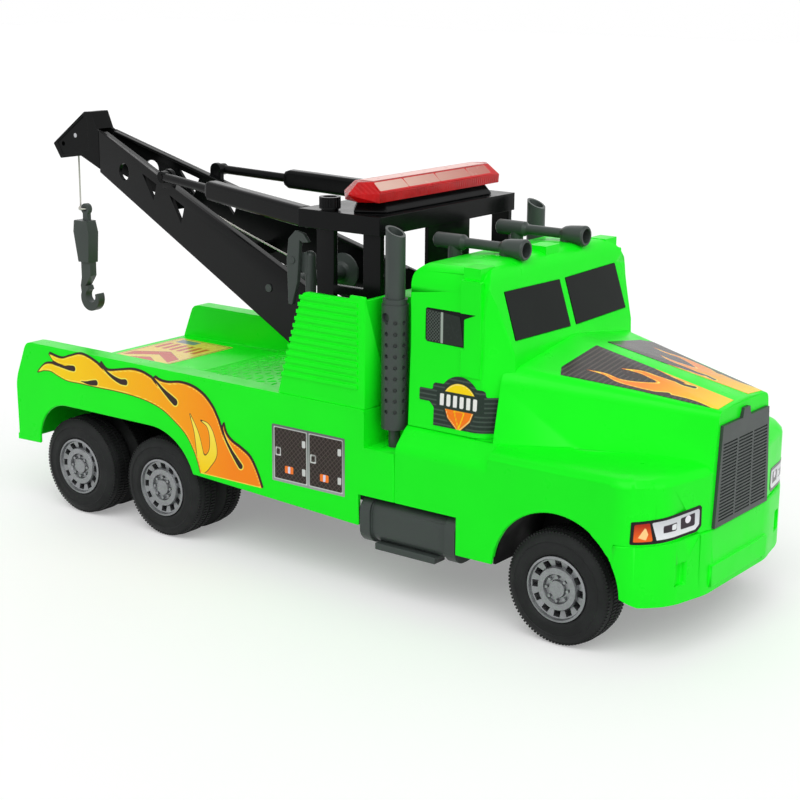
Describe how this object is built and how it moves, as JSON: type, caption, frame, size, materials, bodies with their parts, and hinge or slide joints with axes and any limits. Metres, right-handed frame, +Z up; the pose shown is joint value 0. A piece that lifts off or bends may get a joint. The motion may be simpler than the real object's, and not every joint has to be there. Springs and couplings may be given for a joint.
{
  "type": "toy tow truck",
  "caption": "Toy wrecker truck with a hooded cab, twin rear axles, a hinged boom with struts, a hand winch, a light bar and a tow hook on a string.",
  "frame": {"origin": "on the ground under the middle of the whole toy", "axes": "+X towards the front bumper, +Y to the truck's left side, +Z up"},
  "size_m": [0.5256, 0.17, 0.253],
  "materials": {
    "green_plastic": "glossy moulded plastic",
    "black_plastic": "glossy black plastic",
    "grey_plastic": "satin dark grey plastic",
    "silver_plastic": "silver painted plastic",
    "tyre_rubber": "matt black vinyl",
    "window_black": "black glossy insert",
    "red_lens": "translucent red plastic",
    "steel": "drawn steel",
    "white_string": "braided white string"
  },
  "bodies": {
    "truck": {"chassis": "black_plastic", "rear_bed": "green_plastic", "winch_housing": "green_plastic", "hood_shell": "green_plastic", "cab_shell": "green_plastic", "front_bumper": "green_plastic", "grille": "grey_plastic", "windscreen_r": "window_black", "windscreen_l": "window_black", "side_window_r": "window_black", "side_window_l": "window_black", "exhaust_stack_r": "grey_plastic", "exhaust_stack_l": "grey_plastic", "horn_r": "grey_plastic", "horn_l": "grey_plastic", "fuel_tank_r": "grey_plastic", "fuel_tank_l": "grey_plastic", "gantry_frame": "black_plastic", "gantry_platform": "black_plastic", "light_bar_base": "black_plastic", "light_bar_lens": "red_lens", "boom_pivot_pin": "steel", "lever_post": "grey_plastic", "body_screws": "steel"},
    "boom": {"boom_plate_r": "black_plastic", "boom_plate_l": "black_plastic", "boom_head": "black_plastic", "boom_brace": "black_plastic", "tip_roller_pin": "steel", "boom_string": "white_string"},
    "winch": {"winch_drum": "grey_plastic", "winch_crank": "grey_plastic"},
    "roller": {"tip_roller": "black_plastic"},
    "strut_rod_r": {"strut_rod_r": "black_plastic"},
    "strut_sleeve_r": {"strut_sleeve_r": "black_plastic"},
    "knob_r": {"platform_knob_r": "black_plastic"},
    "strut_rod_l": {"strut_rod_l": "black_plastic"},
    "strut_sleeve_l": {"strut_sleeve_l": "black_plastic"},
    "knob_l": {"platform_knob_l": "black_plastic"},
    "drop_line": {"drop_string": "white_string"},
    "hook_line": {"string_knot": "white_string"},
    "hook": {"tow_hook": "grey_plastic"},
    "lever": {"lock_lever": "grey_plastic"},
    "front_wheels": {"front_axle": "steel", "front_rim_r": "silver_plastic", "front_rim_l": "silver_plastic", "front_tyre_r": "tyre_rubber", "front_tyre_l": "tyre_rubber"},
    "mid_wheels": {"mid_axle": "steel", "mid_rim_r": "silver_plastic", "mid_rim_l": "silver_plastic", "mid_tyre_r": "tyre_rubber", "mid_tyre_l": "tyre_rubber"},
    "rear_wheels": {"rear_axle": "steel", "rear_rim_r": "silver_plastic", "rear_rim_l": "silver_plastic", "rear_tyre_r": "tyre_rubber", "rear_tyre_l": "tyre_rubber"}
  },
  "joints": [
    {"name": "front_wheels_turn", "type": "hinge", "parent": "truck", "child": "front_wheels", "pos_m": [0.197, 0, 0.032], "axis": [0, 1, 0], "continuous": true},
    {"name": "mid_wheels_turn", "type": "hinge", "parent": "truck", "child": "mid_wheels", "pos_m": [-0.094, 0, 0.032], "axis": [0, 1, 0], "continuous": true},
    {"name": "rear_wheels_turn", "type": "hinge", "parent": "truck", "child": "rear_wheels", "pos_m": [-0.169, 0, 0.032], "axis": [0, 1, 0], "continuous": true},
    {"name": "boom_raise", "type": "hinge", "parent": "truck", "child": "boom", "pos_m": [0.0268, 0, 0.137], "axis": [0, 1, 0], "range_deg": [-5, 12]},
    {"name": "winch_turn", "type": "hinge", "parent": "boom", "child": "winch", "pos_m": [-0.036, 0, 0.1606], "axis": [0, 1, 0], "range_deg": [-149, 138]},
    {"name": "roller_turn", "type": "hinge", "parent": "boom", "child": "roller", "pos_m": [-0.2415, 0, 0.236], "axis": [0, 1, 0], "continuous": true},
    {"name": "strut_swing_r", "type": "hinge", "parent": "boom", "child": "strut_rod_r", "pos_m": [-0.1386, -0.0272, 0.218], "axis": [0, 0.8529, -0.5221], "range_deg": [-1, 2.2]},
    {"name": "strut_slide_r", "type": "slide", "parent": "strut_rod_r", "child": "strut_sleeve_r", "axis": [0.9797, -0.1913, -0.0603], "range_m": [-0.0145, 0.0063]},
    {"name": "strut_swing_l", "type": "hinge", "parent": "boom", "child": "strut_rod_l", "pos_m": [-0.1386, 0.0272, 0.218], "axis": [0, 0.8529, 0.5221], "range_deg": [-1, 2.2]},
    {"name": "strut_slide_l", "type": "slide", "parent": "strut_rod_l", "child": "strut_sleeve_l", "axis": [0.9797, 0.1913, -0.0603], "range_m": [-0.0145, 0.0063]},
    {"name": "string_plumb", "type": "hinge", "parent": "boom", "child": "drop_line", "pos_m": [-0.2415, 0, 0.236], "axis": [0, 1, 0], "range_deg": [-12.2, 5.2]},
    {"name": "hoist", "type": "slide", "parent": "drop_line", "child": "hook_line", "axis": [0, 0, 1], "range_m": [-0.0142, 0.0132], "deforming": ["drop_string"]},
    {"name": "hook_swing", "type": "hinge", "parent": "hook_line", "child": "hook", "pos_m": [-0.241, 0, 0.185], "axis": [0, 1, 0], "range_deg": [-8, 20]},
    {"name": "lever_turn", "type": "hinge", "parent": "truck", "child": "lever", "pos_m": [0.0005, -0.0626, 0.1845], "axis": [0, 1, 0], "range_deg": [-14, 14]},
    {"name": "knob_turn_r", "type": "hinge", "parent": "truck", "child": "knob_r", "pos_m": [0.0268, -0.0615, 0.22], "axis": [0, 0, 1], "continuous": true},
    {"name": "knob_turn_l", "type": "hinge", "parent": "truck", "child": "knob_l", "pos_m": [0.0268, 0.0615, 0.22], "axis": [0, 0, 1], "continuous": true}
  ],
  "couplings": [
    {"joint": "strut_swing_r", "follows": "boom_raise", "ratio": 0.17163},
    {"joint": "strut_swing_l", "follows": "boom_raise", "ratio": 0.17163},
    {"joint": "strut_slide_r", "follows": "boom_raise", "m_per_rad": -0.0675},
    {"joint": "strut_slide_l", "follows": "boom_raise", "m_per_rad": -0.0675},
    {"joint": "string_plumb", "follows": "boom_raise", "ratio": -1},
    {"joint": "winch_turn", "follows": "hoist", "rad_per_m": 178.57}
  ]
}
